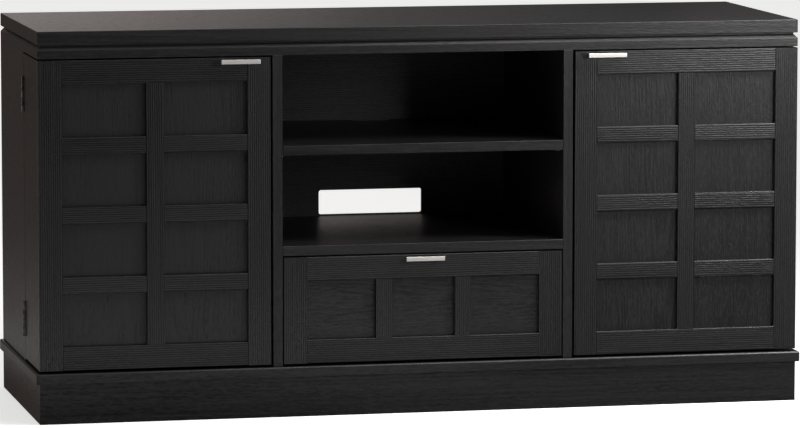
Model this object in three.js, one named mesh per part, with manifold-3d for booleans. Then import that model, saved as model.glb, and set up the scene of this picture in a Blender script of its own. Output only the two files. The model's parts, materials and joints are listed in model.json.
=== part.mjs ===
// Media cabinet: open centre bay over a wide drawer, and two deep box doors hinged on their back corners.
// Millimetres, +Z up, front towards -Y. The base stands on Z 0 and the whole is centred on X and Y.

import * as THREE from 'three';
import Module from 'manifold-3d';

const wasm = await Module();
wasm.setup();
const { Manifold, Mesh } = wasm;

// Overall body, without the lip and the handles.
const WIDTH = 1575;
const DEPTH = 533;
const HEIGHT = 790;

// Boards.
const BOARD = 20;
const BACK_BOARD = 8;
const BACK_INSET = 3;

// Base and the lipped board that lies on it.
const BASE_HEIGHT = 82;
const LIP_THICK = 21;
const LIP_OUT = 7.5;
const LIP_ROUND = 4;
const LIP_STEPS = 4;

// Top: a slab, a narrow neck under it and a bevelled crown board.
const SLAB_THICK = 27;
const SLAB_ARRIS = 1;
const NECK_HEIGHT = 3.5;
const CROWN_THICK = 24.5;
const CROWN_BEVEL = 7.5;

// Centre bay and drawer.
const BAY_WIDTH = 583;
const DRAWER_HEIGHT = 217;
const SHELF_PLAY = 0.5;
const NOTCH_WIDTH = 86;
const NOTCH_DEPTH = 36;
const NOTCH_ROUND = 12;
const CUTOUT_WIDTH = 224;
const CUTOUT_HEIGHT = 52;
const CUTOUT_LIFT = 2.5;
const CUTOUT_ROUND = 5;

// Fronts: frame, grid and recessed panel.
const FRONT_THICK = 20;
const PANEL_RECESS = 9;
const PANEL_THICK = 7;
const PANEL_TUCK = 12;
const DOOR_STILE = 47.75;
const DOOR_RAIL = 47.5;
const DOOR_MUNTIN = 36;
const DOOR_CROSS_RAIL = 33;
const DOOR_ROWS = 4;
const DRAWER_STILE = 48.5;
const DRAWER_RAIL = 48;
const DRAWER_MUNTIN = 35;
const DRAWER_MIDDLE_PANEL = 129;

// Box behind each door.
const DOOR_DEPTH = 195.5;
const BOX_BOARD = 18;
const RACK_BOARD = 12;
const RACK_COUNT = 2;
const JOINT_GAP = 0.3;

// Working gaps.
const GAP_OVER_DOOR = 3;
const GAP_UNDER_FRONTS = 5;
const GAP_DOOR_DIVIDER = 4;
const GAP_DRAWER_SIDE = 1.5;
const GAP_OVER_DRAWER = 3;
const SEAM = 3;

// Handles.
const HANDLE_LENGTH = 80;
const HANDLE_TALL = 9;
const HANDLE_THICK = 6;
const HANDLE_REACH = 21;
const HANDLE_POST = 6;
const HANDLE_POST_INSET = 7;
const HANDLE_DROP = 3;
const HANDLE_INSET = 24;

// Butt hinges with exposed barrels.
const HINGE_TALL = 72;
const HINGE_FROM_END = 46;
const BARREL_RADIUS = 4.75;
const PIN_RADIUS = 2;
const PIN_PLAY = 0.3;
const BARREL_PROUD = 1;
const BARREL_ROOM = 0.9;
const KNUCKLES = 5;
const KNUCKLE_GAP = 0.4;
const LEAF_GAP = 0.4;
const ROUND_SEGMENTS = 32;

// Drawer box and its runners.
const DRAWER_BOARD = 12;
const DRAWER_END_ROOM = 52;
const DRAWER_BOX_DROP = 35;
const DRAWER_BOX_LIFT = 22;
const DRAWER_FLOOR = 6;
const DRAWER_FLOOR_LIFT = 10;
const RUNNER_ROOM = 13;
const RUNNER_TALL = 45;
const RUNNER_SHEET = 1.3;
const RUNNER_STEP = 1.2;
const RUNNER_SET_BACK = 3;
const RUNNER_CASE_LIP_SHORT = 4;

// Catches behind the doors' free edges, and the steel plates on the doors that meet them.
const CATCH_WIDE = 16;
const CATCH_DEEP = 24;
const CATCH_TALL = 46;
const CATCH_FROM_TOP = 80;
const STRIKE_THICK = 1.2;
const STRIKE_MARGIN = 3;

// Levels that follow from the sizes above.
const lipTop = BASE_HEIGHT + LIP_THICK;
const slabBottom = HEIGHT - SLAB_THICK;
const crownTop = slabBottom - NECK_HEIGHT;
const crownBottom = crownTop - CROWN_THICK;
const frontsBottom = lipTop + GAP_UNDER_FRONTS;
const doorTop = crownBottom - GAP_OVER_DOOR;
const drawerTop = frontsBottom + DRAWER_HEIGHT;
const fixedShelfBottom = drawerTop + GAP_OVER_DRAWER;
const fixedShelfTop = fixedShelfBottom + BOARD;

// Planes across the depth.
const frontY = (HANDLE_REACH - DEPTH) / 2;
const backY = frontY + DEPTH;
const backBoardY = backY - BACK_INSET - BACK_BOARD;
const doorBackY = frontY + DOOR_DEPTH;
const sideFrontY = doorBackY + SEAM;
const seamY = doorBackY + SEAM / 2;
const leafThick = (SEAM - LEAF_GAP) / 2;

// Planes across the width, as distances from the middle.
const outerX = WIDTH / 2;
const bayX = BAY_WIDTH / 2;
const dividerX = bayX + BOARD;
const doorFreeX = dividerX + GAP_DOOR_DIVIDER;
const barrelX = outerX + BARREL_PROUD;

const wood = (name, colour) =>
  new THREE.MeshStandardMaterial({ name, color: colour, roughness: 0.5, metalness: 0 });
const metal = (name, colour, roughness) =>
  new THREE.MeshStandardMaterial({ name, color: colour, roughness, metalness: 1 });

const group = new THREE.Group();
group.name = 'media_cabinet';

const blackOak = wood('black_oak', 0x2c2724);
const handleMetal = metal('handle_nickel', 0xd8d6d1, 0.3);
const hingeMetal = metal('hinge_metal', 0x5a5853, 0.4);
const runnerMetal = metal('runner_zinc', 0xa9abad, 0.45);

// Everything that moves together sits in a group of its own. Boards are black oak unless told otherwise.
const bodies = {};
for (const name of ['case', 'door_left', 'door_right', 'drawer', 'runners_middle']) {
  bodies[name] = new THREE.Group();
  bodies[name].name = name;
  group.add(bodies[name]);
}

const add = (body, name, geometry, material = blackOak) => {
  const mesh = new THREE.Mesh(geometry, material.clone());
  mesh.name = name;
  bodies[body].add(mesh);
};

// Solids to and from the kernel that joins and cuts them.
const toSolid = (geometry) => {
  const plain = geometry.index ? geometry.toNonIndexed() : geometry;
  const position = plain.getAttribute('position');
  const corners = new Float32Array(position.array);
  const triangles = new Uint32Array(position.count);
  for (let i = 0; i < triangles.length; i += 1) {
    triangles[i] = i;
  }
  const mesh = new Mesh({ numProp: 3, vertProperties: corners, triVerts: triangles });
  mesh.merge();
  return new Manifold(mesh);
};

const toGeometry = (solid) => {
  const mesh = solid.getMesh();
  const geometry = new THREE.BufferGeometry();
  geometry.setAttribute('position', new THREE.BufferAttribute(new Float32Array(mesh.vertProperties), 3));
  geometry.setIndex(new THREE.BufferAttribute(new Uint32Array(mesh.triVerts), 1));
  return geometry;
};

const join = (...geometries) => toGeometry(geometries.map(toSolid).reduce((a, b) => a.add(b)));
const cut = (body, ...tools) => (
  toGeometry(tools.map(toSolid).reduce((a, b) => a.subtract(b), toSolid(body)))
);

// A block between two corners, whichever way round they come.
const block = (xa, xb, ya, yb, za, zb) => {
  const geometry = new THREE.BoxGeometry(Math.abs(xb - xa), Math.abs(yb - ya), Math.abs(zb - za));
  geometry.translate((xa + xb) / 2, (ya + yb) / 2, (za + zb) / 2);
  return geometry;
};

const rod = (radius, x, y, za, zb) => {
  const geometry = new THREE.CylinderGeometry(radius, radius, zb - za, ROUND_SEGMENTS);
  geometry.rotateX(Math.PI / 2);
  geometry.translate(x, y, (za + zb) / 2);
  return geometry;
};

// A rectangle with rounded corners, for the tools that cut openings.
const roundedRectangle = (xa, xb, ya, yb, radius) => {
  const shape = new THREE.Shape();
  shape.moveTo(xa + radius, ya);
  shape.lineTo(xb - radius, ya);
  shape.absarc(xb - radius, ya + radius, radius, -Math.PI / 2, 0, false);
  shape.lineTo(xb, yb - radius);
  shape.absarc(xb - radius, yb - radius, radius, 0, Math.PI / 2, false);
  shape.lineTo(xa + radius, yb);
  shape.absarc(xa + radius, yb - radius, radius, Math.PI / 2, Math.PI, false);
  shape.lineTo(xa, ya + radius);
  shape.absarc(xa + radius, ya + radius, radius, Math.PI, Math.PI * 1.5, false);
  return shape;
};

// An upright board drawn in X and Z and given its thickness along Y.
const uprightBoard = (shape, ya, yb) => {
  const depth = yb - ya;
  const geometry = new THREE.ExtrudeGeometry(shape, { depth, bevelEnabled: false, curveSegments: 5 });
  geometry.rotateX(Math.PI / 2);
  geometry.translate(0, yb, 0);
  return geometry;
};

// A lying board drawn in X and Y and given its thickness along Z.
const lyingBoard = (shape, za, zb) => {
  const depth = zb - za;
  const geometry = new THREE.ExtrudeGeometry(shape, { depth, bevelEnabled: false, curveSegments: 5 });
  geometry.translate(0, 0, za);
  return geometry;
};

// A board moulded on its front and ends: each ring is a level and how far in the edge stands there.
// The back edge stays straight.
const mouldedBoard = (halfWidth, ya, yb, rings) => {
  const corners = [];
  for (const [level, inset] of rings) {
    corners.push([-halfWidth + inset, ya + inset, level]);
    corners.push([halfWidth - inset, ya + inset, level]);
    corners.push([halfWidth - inset, yb, level]);
    corners.push([-halfWidth + inset, yb, level]);
  }
  const triangles = [0, 2, 1, 0, 3, 2];
  for (let ring = 0; ring + 1 < rings.length; ring += 1) {
    for (let side = 0; side < 4; side += 1) {
      const a = ring * 4 + side;
      const b = ring * 4 + ((side + 1) % 4);
      triangles.push(a, b, b + 4, a, b + 4, a + 4);
    }
  }
  const top = (rings.length - 1) * 4;
  triangles.push(top, top + 1, top + 2, top, top + 2, top + 3);
  const geometry = new THREE.BufferGeometry();
  geometry.setAttribute('position', new THREE.Float32BufferAttribute(corners.flat(), 3));
  geometry.setIndex(triangles);
  return geometry;
};

// Top slab, neck and crown.
add('case', 'top_slab', mouldedBoard(outerX, frontY, backY, [
  [slabBottom, SLAB_ARRIS],
  [slabBottom + SLAB_ARRIS, 0],
  [HEIGHT - SLAB_ARRIS, 0],
  [HEIGHT, SLAB_ARRIS],
]));
add('case', 'top_neck', mouldedBoard(outerX, frontY, backY, [
  [crownTop, CROWN_BEVEL],
  [slabBottom, CROWN_BEVEL],
]));
add('case', 'crown_board', mouldedBoard(outerX, frontY, backY, [
  [crownBottom, 0],
  [crownTop - CROWN_BEVEL, 0],
  [crownTop, CROWN_BEVEL],
]));

// Lipped bottom board with a rounded upper edge.
const lipRings = [[BASE_HEIGHT, 0]];
for (let step = 0; step <= LIP_STEPS; step += 1) {
  const turn = (step / LIP_STEPS) * (Math.PI / 2);
  lipRings.push([lipTop - LIP_ROUND * (1 - Math.sin(turn)), LIP_ROUND * (1 - Math.cos(turn))]);
}
add('case', 'bottom_board', mouldedBoard(outerX + LIP_OUT, frontY - LIP_OUT, backY, lipRings));

// Base of four mitred boards.
const mitred = (corners) => {
  const shape = new THREE.Shape();
  corners.forEach(([x, y], index) => (index ? shape.lineTo(x, y) : shape.moveTo(x, y)));
  shape.closePath();
  return lyingBoard(shape, 0, BASE_HEIGHT);
};
const innerX = outerX - BOARD;
add('case', 'plinth_front', mitred([
  [-outerX, frontY],
  [outerX, frontY],
  [innerX, frontY + BOARD],
  [-innerX, frontY + BOARD],
]));
add('case', 'plinth_back', mitred([
  [-innerX, backY - BOARD],
  [innerX, backY - BOARD],
  [outerX, backY],
  [-outerX, backY],
]));
add('case', 'plinth_left', mitred([
  [-outerX, frontY],
  [-innerX, frontY + BOARD],
  [-innerX, backY - BOARD],
  [-outerX, backY],
]));
add('case', 'plinth_right', mitred([
  [innerX, frontY + BOARD],
  [outerX, frontY],
  [outerX, backY],
  [innerX, backY - BOARD],
]));

// Back board, housed between the sides, with the cable cut-out behind the lower bay.
const cutoutLow = fixedShelfTop + CUTOUT_LIFT;
const cutoutShape = roundedRectangle(
  -CUTOUT_WIDTH / 2, CUTOUT_WIDTH / 2, cutoutLow, cutoutLow + CUTOUT_HEIGHT, CUTOUT_ROUND,
);
add('case', 'back_board', cut(
  block(-innerX, innerX, backBoardY, backBoardY + BACK_BOARD, lipTop, crownBottom),
  uprightBoard(cutoutShape, backBoardY - 1, backBoardY + BACK_BOARD + 1),
));

// Shelves of the bay.
add('case', 'fixed_shelf', block(-bayX, bayX, frontY, backBoardY, fixedShelfBottom, fixedShelfTop));
const shelfBottom = (fixedShelfTop + crownBottom - BOARD) / 2;
const shelfBack = backBoardY - SHELF_PLAY;
const shelfHalf = bayX - SHELF_PLAY;
const notchShape = roundedRectangle(
  -NOTCH_WIDTH / 2, NOTCH_WIDTH / 2, shelfBack - NOTCH_DEPTH, shelfBack + NOTCH_DEPTH, NOTCH_ROUND,
);
add('case', 'adjustable_shelf', cut(
  block(-shelfHalf, shelfHalf, frontY, shelfBack, shelfBottom, shelfBottom + BOARD),
  lyingBoard(notchShape, shelfBottom - 1, shelfBottom + BOARD + 1),
));

// A recessed-panel front: frame with a grid of openings, and the board that fills a pocket behind it.
const openFront = (xa, xb, za, zb, columns, rows, border) => {
  const backOfFront = frontY + FRONT_THICK;
  const pocket = [xa + border, xb - border, za + border, zb - border];
  const openings = columns.flatMap(([left, right]) => rows.map(
    ([low, high]) => block(left, right, frontY - 1, backOfFront + 1, low, high),
  ));
  const [left, right, low, high] = pocket;
  const hollow = block(left, right, frontY + PANEL_RECESS, backOfFront + 1, low, high);
  return { frame: cut(block(xa, xb, frontY, backOfFront, za, zb), hollow, ...openings), pocket };
};

const panelIn = ([xa, xb, za, zb]) => block(
  xa + JOINT_GAP,
  xb - JOINT_GAP,
  frontY + PANEL_RECESS + JOINT_GAP,
  frontY + PANEL_RECESS + JOINT_GAP + PANEL_THICK,
  za + JOINT_GAP,
  zb - JOINT_GAP,
);

// A bar pull on two posts, its face HANDLE_REACH in front of the fronts.
const barPull = (centreX, topZ) => {
  const barBack = frontY - HANDLE_REACH + HANDLE_THICK;
  const low = topZ - HANDLE_DROP - HANDLE_TALL;
  const middle = low + HANDLE_TALL / 2;
  const half = HANDLE_LENGTH / 2;
  const barFront = barBack - HANDLE_THICK;
  const bar = block(centreX - half, centreX + half, barFront, barBack, low, low + HANDLE_TALL);
  const posts = [-1, 1].map((end) => {
    const x = centreX + end * (half - HANDLE_POST_INSET);
    return block(
      x - HANDLE_POST / 2,
      x + HANDLE_POST / 2,
      barBack - HANDLE_THICK / 2,
      frontY - JOINT_GAP,
      middle - HANDLE_POST / 2,
      middle + HANDLE_POST / 2,
    );
  });
  return join(bar, ...posts);
};

const evenRuns = (start, end, count, bar) => {
  const run = (end - start - bar * (count - 1)) / count;
  const runs = [];
  for (let i = 0; i < count; i += 1) {
    const low = start + i * (run + bar);
    runs.push([low, low + run]);
  }
  return runs;
};

// One leaf of a hinge. The knuckles it owns are even or odd; the other leaf's are cleared out of its plate.
const hingeLeaf = (side, low, owned, plateFrom, plateTo, bored) => {
  const x = side * barrelX;
  const pitch = (HINGE_TALL + KNUCKLE_GAP) / KNUCKLES;
  const high = low + HINGE_TALL;
  const knuckles = [];
  const clearings = [];
  for (let i = 0; i < KNUCKLES; i += 1) {
    const from = low + i * pitch;
    const to = from + pitch - KNUCKLE_GAP;
    if (i % 2 === owned) {
      knuckles.push(rod(BARREL_RADIUS, x, seamY, from, to));
    } else {
      clearings.push(rod(BARREL_RADIUS + KNUCKLE_GAP, x, seamY, from - KNUCKLE_GAP, to + KNUCKLE_GAP));
    }
  }
  const plate = block(x, side * (outerX - BOX_BOARD), plateFrom, plateTo, low, high);
  const trimmed = cut(plate, ...clearings);
  const leaf = join(trimmed, ...knuckles);
  if (bored) {
    return cut(leaf, rod(PIN_RADIUS + PIN_PLAY, x, seamY, low - 1, high + 1));
  }
  return join(leaf, rod(PIN_RADIUS, x, seamY, low, high));
};

const hingeLevels = {
  lower: frontsBottom + HINGE_FROM_END,
  upper: doorTop - HINGE_FROM_END - HINGE_TALL,
};
const barrelRecesses = (side) => Object.values(hingeLevels).map((low) => rod(
  BARREL_RADIUS + BARREL_ROOM,
  side * barrelX,
  seamY,
  low - BARREL_ROOM,
  low + HINGE_TALL + BARREL_ROOM,
));

// Both flanks: side, divider, compartment shelf, hinges, catch and the deep door.
const catchTop = doorTop - CATCH_FROM_TOP;
for (const [label, side] of [['left', -1], ['right', 1]]) {
  const sideBoard = block(side * innerX, side * outerX, sideFrontY, backY, lipTop, crownBottom);
  add('case', `side_board_${label}`, cut(sideBoard, ...barrelRecesses(side)));
  const divider = block(side * bayX, side * dividerX, frontY, backBoardY, lipTop, crownBottom);
  add('case', `divider_${label}`, divider);
  const middleZ = (lipTop + crownBottom) / 2;
  add('case', `compartment_shelf_${label}`, block(
    side * (dividerX + SHELF_PLAY),
    side * (innerX - SHELF_PLAY),
    sideFrontY + CATCH_DEEP / 2,
    shelfBack,
    middleZ - BOARD / 2,
    middleZ + BOARD / 2,
  ));
  add('case', `door_catch_${label}`, block(
    side * dividerX,
    side * (dividerX + CATCH_WIDE),
    sideFrontY,
    sideFrontY + CATCH_DEEP,
    catchTop - CATCH_TALL,
    catchTop,
  ), hingeMetal);

  const xa = Math.min(side * doorFreeX, side * outerX);
  const xb = Math.max(side * doorFreeX, side * outerX);
  const columns = evenRuns(xa + DOOR_STILE, xb - DOOR_STILE, 2, DOOR_MUNTIN);
  const rows = evenRuns(frontsBottom + DOOR_RAIL, doorTop - DOOR_RAIL, DOOR_ROWS, DOOR_CROSS_RAIL);
  const front = openFront(xa, xb, frontsBottom, doorTop, columns, rows, DOOR_STILE - PANEL_TUCK);
  const door = `door_${label}`;
  add(door, `${door}_frame`, front.frame);
  add(door, `${door}_panel`, panelIn(front.pocket));
  const handleX = side * (doorFreeX + HANDLE_INSET + HANDLE_LENGTH / 2);
  add(door, `${door}_handle`, barPull(handleX, doorTop), handleMetal);

  const boxFrontY = frontY + FRONT_THICK + JOINT_GAP;
  const outerBoard = block(
    side * outerX,
    side * (outerX - BOX_BOARD),
    boxFrontY,
    doorBackY,
    frontsBottom,
    doorTop,
  );
  add(door, `${door}_outer_side`, cut(outerBoard, ...barrelRecesses(side)));
  add(door, `${door}_inner_side`, block(
    side * doorFreeX,
    side * (doorFreeX + BOX_BOARD),
    boxFrontY,
    doorBackY,
    frontsBottom,
    doorTop,
  ));
  add(door, `${door}_strike_plate`, block(
    side * (doorFreeX + STRIKE_MARGIN),
    side * (doorFreeX + BOX_BOARD - STRIKE_MARGIN),
    doorBackY + JOINT_GAP,
    doorBackY + JOINT_GAP + STRIKE_THICK,
    catchTop - CATCH_TALL + STRIKE_MARGIN,
    catchTop - STRIKE_MARGIN,
  ), hingeMetal);
  const binNear = side * (doorFreeX + BOX_BOARD + JOINT_GAP);
  const binFar = side * (outerX - BOX_BOARD - JOINT_GAP);
  const binFloor = frontsBottom + BOX_BOARD;
  const binRoof = doorTop - BOX_BOARD;
  for (const [name, low, high] of [['box_bottom', frontsBottom, binFloor], ['box_top', binRoof, doorTop]]) {
    add(door, `${door}_${name}`, block(binNear, binFar, boxFrontY, doorBackY, low, high));
  }
  const bins = evenRuns(binFloor, binRoof, RACK_COUNT + 1, RACK_BOARD);
  for (let i = 0; i < RACK_COUNT; i += 1) {
    add(door, `${door}_rack_${i + 1}`, block(
      binNear,
      binFar,
      boxFrontY,
      doorBackY,
      bins[i][1],
      bins[i + 1][0],
    ));
  }

  for (const [place, low] of Object.entries(hingeLevels)) {
    const cabinetLeaf = hingeLeaf(side, low, 0, sideFrontY - leafThick, sideFrontY, false);
    add('case', `hinge_${label}_${place}_case_leaf`, cabinetLeaf, hingeMetal);
    const doorLeaf = hingeLeaf(side, low, 1, doorBackY + JOINT_GAP / 2, doorBackY + leafThick, true);
    add(door, `hinge_${label}_${place}_door_leaf`, doorLeaf, hingeMetal);
  }
}

// Drawer front and box.
const drawerHalf = bayX - GAP_DRAWER_SIDE;
const muntinCentre = (DRAWER_MIDDLE_PANEL + DRAWER_MUNTIN) / 2;
const drawerColumns = [
  [-drawerHalf + DRAWER_STILE, -muntinCentre - DRAWER_MUNTIN / 2],
  [-DRAWER_MIDDLE_PANEL / 2, DRAWER_MIDDLE_PANEL / 2],
  [muntinCentre + DRAWER_MUNTIN / 2, drawerHalf - DRAWER_STILE],
];
const drawerRows = [[frontsBottom + DRAWER_RAIL, drawerTop - DRAWER_RAIL]];
const drawerBorder = DRAWER_RAIL - PANEL_TUCK;
const drawerFront = openFront(
  -drawerHalf, drawerHalf, frontsBottom, drawerTop, drawerColumns, drawerRows, drawerBorder,
);
add('drawer', 'drawer_frame', drawerFront.frame);
add('drawer', 'drawer_panel', panelIn(drawerFront.pocket));
add('drawer', 'drawer_handle', barPull(0, drawerTop), handleMetal);

const boxX = bayX - RUNNER_ROOM;
const boxInX = boxX - DRAWER_BOARD;
const boxStart = frontY + FRONT_THICK;
const boxEnd = backBoardY - DRAWER_END_ROOM;
const boxLow = frontsBottom + DRAWER_BOX_LIFT;
const boxHigh = drawerTop - DRAWER_BOX_DROP;
const floorLow = boxLow + DRAWER_FLOOR_LIFT;
for (const [label, side] of [['left', -1], ['right', 1]]) {
  const drawerSide = block(side * boxInX, side * boxX, boxStart, boxEnd, boxLow, boxHigh);
  add('drawer', `drawer_side_${label}`, drawerSide);
}
const backStart = boxEnd - DRAWER_BOARD;
add('drawer', 'drawer_back', block(-boxInX, boxInX, backStart, boxEnd, boxLow, boxHigh));
add('drawer', 'drawer_floor', block(
  -boxInX,
  boxInX,
  boxStart,
  backStart,
  floorLow,
  floorLow + DRAWER_FLOOR,
));

// Runners: three channels nested in each other on each side of the drawer.
const runnerMiddle = (boxLow + boxHigh) / 2;
const runnerStart = boxStart + RUNNER_SET_BACK;
const channel = (side, webFrom, webTo, lipTo, reach) => {
  const piece = (xa, xb, za, zb) => (
    block(side * (bayX - xa), side * (bayX - xb), runnerStart, boxEnd, runnerMiddle + za, runnerMiddle + zb)
  );
  return join(
    piece(webFrom, webTo, -reach, reach),
    piece(webFrom, lipTo, reach - RUNNER_SHEET, reach),
    piece(webFrom, lipTo, -reach, RUNNER_SHEET - reach),
  );
};
const outerReach = RUNNER_TALL / 2;
const middleReach = outerReach - RUNNER_SHEET - RUNNER_STEP;
const innerReach = middleReach - RUNNER_SHEET - RUNNER_STEP;
const middleWeb = RUNNER_SHEET + RUNNER_STEP * 2;
const caseLip = RUNNER_ROOM - RUNNER_CASE_LIP_SHORT;
const middleLip = RUNNER_ROOM - RUNNER_STEP * 2;
const drawerWeb = RUNNER_ROOM - RUNNER_SHEET;
const drawerLip = middleWeb + RUNNER_SHEET + RUNNER_STEP * 2;
for (const [label, side] of [['left', -1], ['right', 1]]) {
  const caseRunner = channel(side, 0, RUNNER_SHEET, caseLip, outerReach);
  add('case', `runner_case_${label}`, caseRunner, runnerMetal);
  const middleRunner = channel(side, middleWeb, middleWeb + RUNNER_SHEET, middleLip, middleReach);
  add('runners_middle', `runner_middle_${label}`, middleRunner, runnerMetal);
  const drawerRunner = channel(side, RUNNER_ROOM, drawerWeb, drawerLip, innerReach);
  add('drawer', `runner_drawer_${label}`, drawerRunner, runnerMetal);
}

export default group;
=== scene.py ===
"""Media cabinet in black-stained oak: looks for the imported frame. Metres, +Z up, front towards -Y."""

import json
import math
import random

import bmesh
import bpy
import numpy as np
from mathutils import Euler, Matrix, Vector


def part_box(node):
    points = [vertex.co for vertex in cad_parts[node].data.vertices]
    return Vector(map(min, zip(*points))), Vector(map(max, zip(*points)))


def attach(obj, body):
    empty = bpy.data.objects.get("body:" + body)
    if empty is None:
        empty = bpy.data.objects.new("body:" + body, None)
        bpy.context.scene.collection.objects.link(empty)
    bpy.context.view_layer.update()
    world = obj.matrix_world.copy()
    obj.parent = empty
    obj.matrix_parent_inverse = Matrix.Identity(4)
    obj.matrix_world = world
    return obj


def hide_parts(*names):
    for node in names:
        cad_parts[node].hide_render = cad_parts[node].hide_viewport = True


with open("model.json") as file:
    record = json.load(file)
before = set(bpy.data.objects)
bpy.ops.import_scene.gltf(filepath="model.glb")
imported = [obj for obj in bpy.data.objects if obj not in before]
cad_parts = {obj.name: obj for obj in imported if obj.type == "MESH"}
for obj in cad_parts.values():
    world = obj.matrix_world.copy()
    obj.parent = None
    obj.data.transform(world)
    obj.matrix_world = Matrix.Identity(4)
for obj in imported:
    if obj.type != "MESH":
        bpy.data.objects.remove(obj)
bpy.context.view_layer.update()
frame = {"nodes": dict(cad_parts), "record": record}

MM = 0.001
X, Y, Z = 0, 1, 2
SIDES = (("left", -1), ("right", 1))
HINGE_PLACES = ("lower", "upper")

# Arrises, as eased by hand with fine paper.
BOARD_ARRIS = 1.0 * MM
SEAM_ARRIS = 0.4 * MM
THIN_ARRIS = 0.3 * MM
MITRE_ARRIS = 0.4 * MM
TOP_ARRIS = 1.6 * MM
GRID_ARRIS = 1.4 * MM
ARRIS_STEPS = 3
GRID_STEPS = 2
SHARP_ANGLE = 40
BOARD_SMOOTH_ANGLE = 50
IRON_SMOOTH_ANGLE = 35

# Recessed-panel fronts.
FACE_THICK = 9 * MM
PANEL_TUCK = 12 * MM
DOOR_STILE = 47.75 * MM
DOOR_RAIL = 47.5 * MM
DOOR_MUNTIN = 36 * MM
DOOR_CROSS_RAIL = 33 * MM
DOOR_COLUMNS = 2
DOOR_ROWS = 4
DRAWER_STILE = 48.5 * MM
DRAWER_RAIL = 48 * MM
DRAWER_MUNTIN = 35 * MM
DRAWER_MIDDLE_PANEL = 129 * MM

# Mouldings.
SLAB_CORNER = 2 * MM
CROWN_BEVEL = 7.5 * MM
CROWN_SOFT = 0.7 * MM
CROWN_CORNER = 1.5 * MM
LIP_ROUND = 4 * MM
LIP_UNDER_ROUND = 0.8 * MM
LIP_CORNER = 2.5 * MM
LEAST_CORNER = 0.3 * MM
ROUND_STEPS = 6
BASE_BOARD = 20 * MM

# Openings cut in the shelf and the back. Each cutter reaches past the face that it goes in by.
CUT_PAST = 1 * MM
NOTCH_WIDTH = 86 * MM
NOTCH_DEPTH = 36 * MM
NOTCH_ROUND = 12 * MM
CUTOUT_WIDTH = 224 * MM
CUTOUT_HEIGHT = 52 * MM
CUTOUT_LIFT = 2.5 * MM
CUTOUT_ROUND = 5 * MM

# Shelf pins in their rows of holes.
PIN_RADIUS = 2.5 * MM
PIN_SLACK = 0.2 * MM
PIN_LENGTH = 13 * MM
PIN_MIDDLE_OUT = 2 * MM
PIN_EASE = 0.3 * MM
PIN_COLLAR = 1.2 * MM
PIN_COLLAR_REACH = 0.9 * MM
PIN_COLLAR_DROP = 0.1 * MM
PIN_PADDLE = 9 * MM
PIN_PADDLE_THICK = 1.6 * MM
PIN_PADDLE_EASE = 0.4 * MM
PIN_SEGMENTS = 20
HOLE_RADIUS = 2.7 * MM
HOLE_DEPTH = 9 * MM
HOLE_PITCH = 32 * MM
HOLES_EACH_WAY = 2
HOLE_FROM_EDGE = 37 * MM

# Hinges.
BARREL_RADIUS = 4.75 * MM
BARREL_ROOM = 0.9 * MM
BARREL_SEGMENTS = 32
KNUCKLES = 5
KNUCKLE_GAP = 0.4 * MM
KNUCKLE_EASE = 0.5 * MM
LEAF_THICK = 1.15 * MM
LEAF_CORNER = 2 * MM
LEAF_SCREW_SHARES = (0.15, 0.5, 0.85)

# Handles.
HANDLE_THICK = 6 * MM
HANDLE_POST = 6 * MM
HANDLE_POST_INSET = 7 * MM
HANDLE_EASE = 0.9 * MM

# Door catches: two steel poles in a housing, and the plate that they hold.
POLE_PROUD = 1.5 * MM
POLE_HALF = 1 * MM
POLE_INSET = 6 * MM
POLE_SHARES = (0.3, 0.7)
HOUSING_EASE = 1.2 * MM
HOUSING_SCREW_INSET = 10 * MM
PLATE_CORNER = 2 * MM
PLATE_EASE = 0.25 * MM
PLATE_SCREW_INSET = 8 * MM
IRON_CORNER_STEPS = 4

# Screws, and how far each kind stands proud of its face.
SCREW_HEAD = 3.2 * MM
SCREW_HEAD_DEEP = 1 * MM
SCREW_EASE = 0.25 * MM
CROSS_ARM = 2.0 * MM
CROSS_WIDE = 0.7 * MM
CROSS_DEEP = 0.35 * MM
LEAF_SCREW_PROUD = 0.12 * MM
HOUSING_SCREW_PROUD = -0.05 * MM
PLATE_SCREW_PROUD = 0.1 * MM

# Studio, in metres. Levels are radiances, where 1 shows as white.
FLOOR_REACH = 60
WALL_REACH = 0.97 * FLOOR_REACH
FLOOR_GLOW = 0.6
SKY_OVERHEAD = 0.38
SKY_LEVEL = 0.03
SKY_LOW_FRONT = 0.08
SKY_BEHIND = 0.1
CARD_BEHIND = 3.2
CARD_LEFT = -0.9
CARD_RIGHT = 1.5
CARD_FOOT = 0.5
CARD_TOP = 1.6
CARD_STRENGTH = 1.25
CAMERA_PLACE = (-2.2147, -10.1524, 1.5584)
CAMERA_DOWN = 6.478
CAMERA_TURN = -12.342
CAMERA_LENS = 226.4
CAMERA_SENSOR = 36
CAMERA_SIGHT = 200

sawing = random.Random(29)


# ---------------------------------------------------------------- finishes


def linear(hex_colour):
    """An sRGB hex colour as the linear values that shaders take."""
    shares = [int(hex_colour[i : i + 2], 16) / 255 for i in (1, 3, 5)]
    bent = [s / 12.92 if s <= 0.04045 else ((s + 0.055) / 1.055) ** 2.4 for s in shares]
    return (*bent, 1.0)


def add(tree, kind, inputs=None, stops=None, **settings):
    """Adds one node with its settings, its socket values and the links that come into it."""
    made = tree.nodes.new("ShaderNode" + kind)
    for name, value in settings.items():
        setattr(made, name, value)
    for socket, value in (inputs or {}).items():
        if isinstance(value, bpy.types.NodeSocket):
            tree.links.new(value, made.inputs[socket])
        else:
            made.inputs[socket].default_value = value
    if stops:
        ramp = made.color_ramp.elements
        while len(ramp) < len(stops):
            ramp.new(0.5)
        for element, (place, colour) in zip(ramp, stops):
            element.position = place
            element.color = colour
    return made


def new_finish(name):
    """An empty finish: the material and its node tree."""
    material = bpy.data.materials.new(name)
    material.use_nodes = True
    material.node_tree.nodes.clear()
    return material, material.node_tree


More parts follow.
